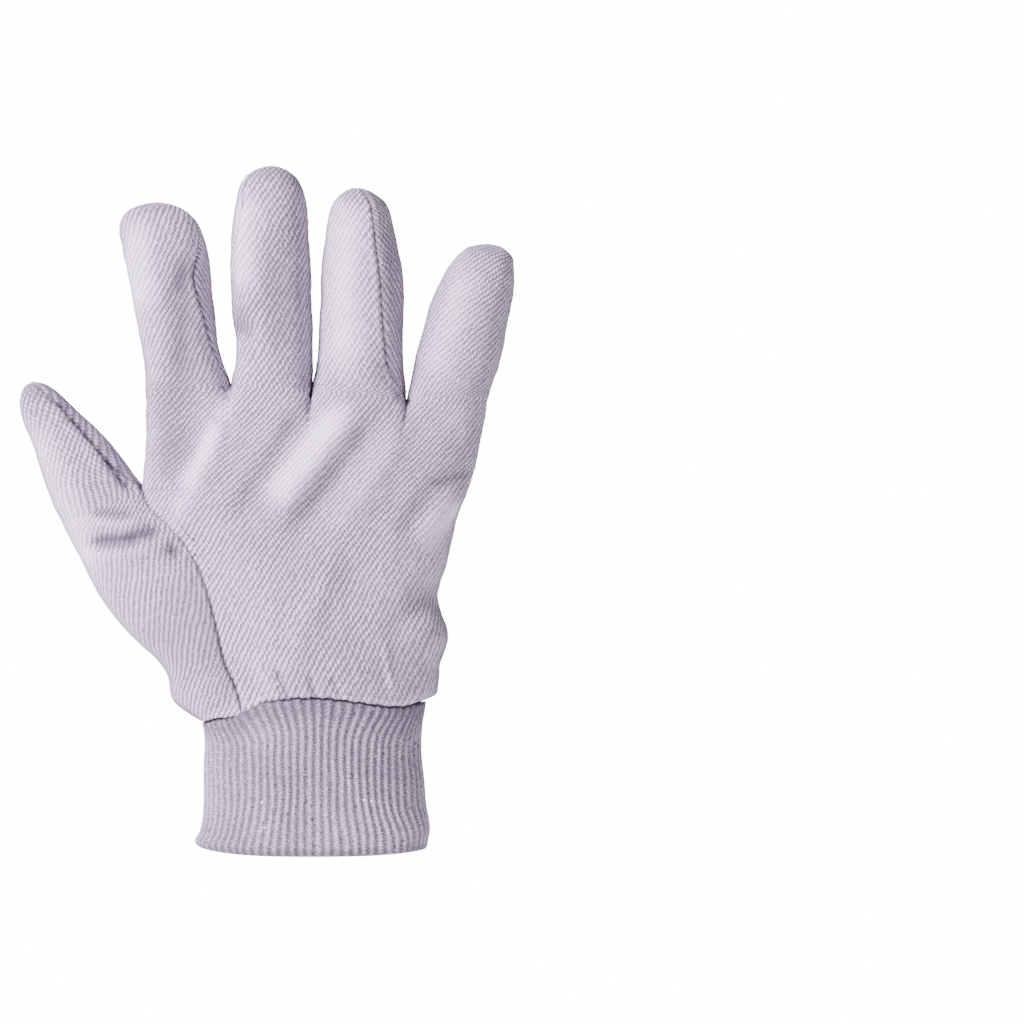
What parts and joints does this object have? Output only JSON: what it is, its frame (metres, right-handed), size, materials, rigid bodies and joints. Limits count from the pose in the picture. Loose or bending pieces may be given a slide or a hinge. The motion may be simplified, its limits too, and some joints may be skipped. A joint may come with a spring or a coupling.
{
  "type": "cotton work glove",
  "caption": "Left-hand cotton work glove in the form it has when worn, sewn from twill cloth pieces, with a ribbed knit cuff.",
  "frame": {"origin": "centre of the wrist opening, in the plane of the cuff's hem", "axes": "+Z from the wrist towards the fingertips, -Y out of the palm, -X towards the thumb"},
  "size_m": [0.1744, 0.0443, 0.2434],
  "materials": {
    "cotton": "napped cotton twill",
    "rib_knit": "ribbed cotton knit"
  },
  "bodies": {
    "root": {"palm_panel": "cotton", "index_back_panel": "cotton", "middle_back_panel": "cotton", "ring_little_back_panel": "cotton", "thumb_front_panel": "cotton", "thumb_back_panel": "cotton", "knit_cuff": "rib_knit"}
  },
  "joints": []
}
